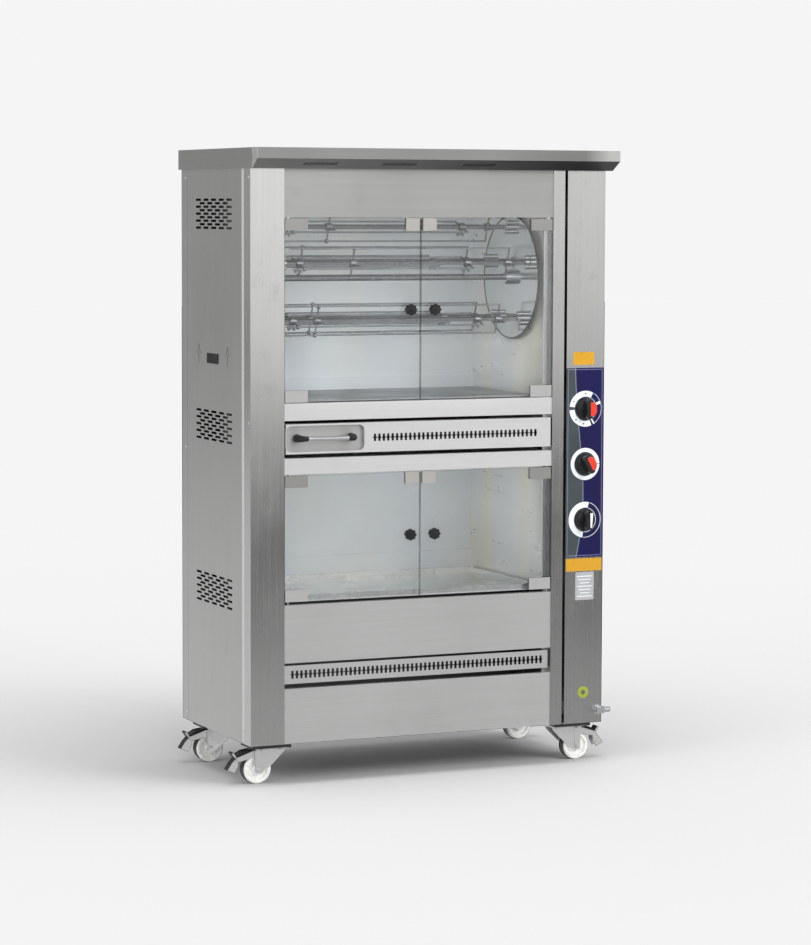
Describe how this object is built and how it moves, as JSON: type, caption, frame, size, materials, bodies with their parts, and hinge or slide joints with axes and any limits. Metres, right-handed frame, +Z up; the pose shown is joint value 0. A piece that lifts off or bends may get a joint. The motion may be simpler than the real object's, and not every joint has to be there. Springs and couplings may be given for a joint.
{
  "type": "vertical rotisserie broiler",
  "caption": "Upright two-tier gas rotisserie cabinet on castors: planetary spit carousel behind glass doors, fat drawer, glass-door warming chamber and a side control column.",
  "frame": {"origin": "on the floor under the middle of the whole outline, castor pedals and hood included", "axes": "+Z up, +Y towards the back, +X to the right as a user faces the doors; the doors face -Y"},
  "size_m": [1.217, 0.644, 1.83],
  "materials": {
    "brushed_steel": "brushed stainless sheet, fine directional grain",
    "column_steel": "brushed stainless sheet, vertical grain, slightly darker",
    "liner_steel": "bright polished stainless liner, mirror-like",
    "chrome": "polished chrome plate",
    "spit_steel": "polished stainless rod",
    "dark_frame": "black painted tube",
    "cast_gear": "machined steel, matt",
    "gear_housing": "cast housing, satin",
    "gas_brass": "plain brass pipe and valves",
    "zinc_plate": "bright zinc plate",
    "overlay_film": "navy printed film with a grey band, satin gloss",
    "black_plastic": "moulded black plastic",
    "knob_plastic": "moulded black knob, semi-gloss, with a coloured pointer",
    "glass": "clear tempered glass",
    "clip_nickel": "brushed nickel clip, with a black moulded star grip",
    "handle_chrome": "chrome bar with black end pieces",
    "nylon_wheel": "white nylon wheel",
    "brake_metal": "plated pressing with a black tread"
  },
  "bodies": {
    "cabinet": {"chassis_frame": "dark_frame", "castor_plates": "zinc_plate", "left_side_panel": "brushed_steel", "right_side_panel": "brushed_steel", "back_panel": "brushed_steel", "left_column": "column_steel", "right_column": "column_steel", "control_column": "column_steel", "control_overlay": "overlay_film", "hood": "brushed_steel", "header_panel": "brushed_steel", "front_rails": "brushed_steel", "lower_panels": "brushed_steel", "roast_chamber": "liner_steel", "warming_chamber": "liner_steel", "warming_tray": "liner_steel", "roof_burners": "cast_gear", "gas_train": "gas_brass", "gas_inlet": "chrome", "gearmotor": "gear_housing", "sun_gear": "cast_gear", "door_pivots": "chrome", "shaft_bearings": "gear_housing", "rocker_bezel": "black_plastic", "fasteners": "zinc_plate"},
    "upper_left_door": {"upper_left_door_glass": "glass", "upper_left_door_fittings": "clip_nickel"},
    "upper_right_door": {"upper_right_door_glass": "glass", "upper_right_door_fittings": "clip_nickel"},
    "lower_left_door": {"lower_left_door_glass": "glass", "lower_left_door_fittings": "clip_nickel"},
    "lower_right_door": {"lower_right_door_glass": "glass", "lower_right_door_fittings": "clip_nickel"},
    "drawer": {"drawer_front": "brushed_steel", "drawer_tray": "brushed_steel", "drawer_handle": "handle_chrome"},
    "carousel": {"carousel_shaft": "spit_steel", "left_disc": "liner_steel", "right_disc": "liner_steel"},
    "spit_unit_1": {"spit_1": "spit_steel"},
    "spit_unit_2": {"spit_2": "spit_steel"},
    "spit_unit_3": {"spit_3": "spit_steel"},
    "spit_unit_4": {"spit_4": "spit_steel"},
    "spit_unit_5": {"spit_5": "spit_steel"},
    "upper_knob": {"upper_gas_knob": "knob_plastic"},
    "middle_knob": {"middle_gas_knob": "knob_plastic"},
    "lower_knob": {"lower_control_knob": "knob_plastic"},
    "rocker": {"power_rocker": "black_plastic"},
    "front_left_castor": {"front_left_fork": "zinc_plate"},
    "front_left_castor_wheel": {"front_left_wheel": "nylon_wheel"},
    "front_left_castor_brake": {"front_left_brake": "brake_metal"},
    "front_right_castor": {"front_right_fork": "zinc_plate"},
    "front_right_castor_wheel": {"front_right_wheel": "nylon_wheel"},
    "front_right_castor_brake": {"front_right_brake": "brake_metal"},
    "rear_left_castor": {"rear_left_fork": "zinc_plate"},
    "rear_left_castor_wheel": {"rear_left_wheel": "nylon_wheel"},
    "rear_left_castor_brake": {"rear_left_brake": "brake_metal"},
    "rear_right_castor": {"rear_right_fork": "zinc_plate"},
    "rear_right_castor_wheel": {"rear_right_wheel": "nylon_wheel"},
    "rear_right_castor_brake": {"rear_right_brake": "brake_metal"}
  },
  "joints": [
    {"name": "upper_left_door_hinge", "type": "hinge", "parent": "cabinet", "child": "upper_left_door", "pos_m": [-0.4485, -0.2385, 1.106], "axis": [0, 0, -1], "range_deg": [0, 110]},
    {"name": "upper_right_door_hinge", "type": "hinge", "parent": "cabinet", "child": "upper_right_door", "pos_m": [0.3815, -0.2385, 1.106], "axis": [0, 0, 1], "range_deg": [0, 110]},
    {"name": "lower_left_door_hinge", "type": "hinge", "parent": "cabinet", "child": "lower_left_door", "pos_m": [-0.4485, -0.2385, 0.533], "axis": [0, 0, -1], "range_deg": [0, 110]},
    {"name": "lower_right_door_hinge", "type": "hinge", "parent": "cabinet", "child": "lower_right_door", "pos_m": [0.3815, -0.2385, 0.533], "axis": [0, 0, 1], "range_deg": [0, 110]},
    {"name": "drawer_slide", "type": "slide", "parent": "cabinet", "child": "drawer", "axis": [0, -1, 0], "range_m": [0, 0.35]},
    {"name": "carousel_spin", "type": "hinge", "parent": "cabinet", "child": "carousel", "pos_m": [-0.0335, -0.03, 1.455], "axis": [1, 0, 0], "continuous": true},
    {"name": "spit_1_spin", "type": "hinge", "parent": "carousel", "child": "spit_unit_1", "pos_m": [-0.0335, 0.11266, 1.50135], "axis": [1, 0, 0], "continuous": true},
    {"name": "spit_2_spin", "type": "hinge", "parent": "carousel", "child": "spit_unit_2", "pos_m": [-0.0335, -0.03, 1.605], "axis": [1, 0, 0], "continuous": true},
    {"name": "spit_3_spin", "type": "hinge", "parent": "carousel", "child": "spit_unit_3", "pos_m": [-0.0335, -0.17266, 1.50135], "axis": [1, 0, 0], "continuous": true},
    {"name": "spit_4_spin", "type": "hinge", "parent": "carousel", "child": "spit_unit_4", "pos_m": [-0.0335, -0.11817, 1.33365], "axis": [1, 0, 0], "continuous": true},
    {"name": "spit_5_spin", "type": "hinge", "parent": "carousel", "child": "spit_unit_5", "pos_m": [-0.0335, 0.05817, 1.33365], "axis": [1, 0, 0], "continuous": true},
    {"name": "upper_knob_turn", "type": "hinge", "parent": "cabinet", "child": "upper_knob", "pos_m": [0.504, -0.245, 1.067], "axis": [0, -1, 0], "range_deg": [0, 180]},
    {"name": "middle_knob_turn", "type": "hinge", "parent": "cabinet", "child": "middle_knob", "pos_m": [0.504, -0.245, 0.902], "axis": [0, -1, 0], "range_deg": [0, 180]},
    {"name": "lower_knob_turn", "type": "hinge", "parent": "cabinet", "child": "lower_knob", "pos_m": [0.504, -0.245, 0.735], "axis": [0, 1, 0], "range_deg": [0, 270]},
    {"name": "rocker_tilt", "type": "hinge", "parent": "cabinet", "child": "rocker", "pos_m": [-0.5605, 0.0565, 1.221], "axis": [0, 0, -1], "range_deg": [0, 16]},
    {"name": "front_left_swivel", "type": "hinge", "parent": "cabinet", "child": "front_left_castor", "pos_m": [-0.4795, -0.159, 0.097], "axis": [0, 0, 1], "continuous": true},
    {"name": "front_left_roll", "type": "hinge", "parent": "front_left_castor", "child": "front_left_castor_wheel", "pos_m": [-0.5175, -0.159, 0.042], "axis": [0, 1, 0], "continuous": true},
    {"name": "front_left_brake_press", "type": "hinge", "parent": "front_left_castor", "child": "front_left_castor_brake", "pos_m": [-0.5225, -0.159, 0.091], "axis": [0, -1, 0], "range_deg": [0, 15]},
    {"name": "front_right_swivel", "type": "hinge", "parent": "cabinet", "child": "front_right_castor", "pos_m": [0.4795, -0.159, 0.097], "axis": [0, 0, 1], "continuous": true},
    {"name": "front_right_roll", "type": "hinge", "parent": "front_right_castor", "child": "front_right_castor_wheel", "pos_m": [0.5175, -0.159, 0.042], "axis": [0, 1, 0], "continuous": true},
    {"name": "front_right_brake_press", "type": "hinge", "parent": "front_right_castor", "child": "front_right_castor_brake", "pos_m": [0.5225, -0.159, 0.091], "axis": [0, 1, 0], "range_deg": [0, 15]},
    {"name": "rear_left_swivel", "type": "hinge", "parent": "cabinet", "child": "rear_left_castor", "pos_m": [-0.4795, 0.231, 0.097], "axis": [0, 0, 1], "continuous": true},
    {"name": "rear_left_roll", "type": "hinge", "parent": "rear_left_castor", "child": "rear_left_castor_wheel", "pos_m": [-0.5175, 0.231, 0.042], "axis": [0, 1, 0], "continuous": true},
    {"name": "rear_left_brake_press", "type": "hinge", "parent": "rear_left_castor", "child": "rear_left_castor_brake", "pos_m": [-0.5225, 0.231, 0.091], "axis": [0, -1, 0], "range_deg": [0, 15]},
    {"name": "rear_right_swivel", "type": "hinge", "parent": "cabinet", "child": "rear_right_castor", "pos_m": [0.4795, 0.231, 0.097], "axis": [0, 0, 1], "continuous": true},
    {"name": "rear_right_roll", "type": "hinge", "parent": "rear_right_castor", "child": "rear_right_castor_wheel", "pos_m": [0.5175, 0.231, 0.042], "axis": [0, 1, 0], "continuous": true},
    {"name": "rear_right_brake_press", "type": "hinge", "parent": "rear_right_castor", "child": "rear_right_castor_brake", "pos_m": [0.5225, 0.231, 0.091], "axis": [0, 1, 0], "range_deg": [0, 15]}
  ],
  "couplings": [
    {"joint": "spit_1_spin", "follows": "carousel_spin", "ratio": 4},
    {"joint": "spit_2_spin", "follows": "carousel_spin", "ratio": 4},
    {"joint": "spit_3_spin", "follows": "carousel_spin", "ratio": 4},
    {"joint": "spit_4_spin", "follows": "carousel_spin", "ratio": 4},
    {"joint": "spit_5_spin", "follows": "carousel_spin", "ratio": 4}
  ]
}
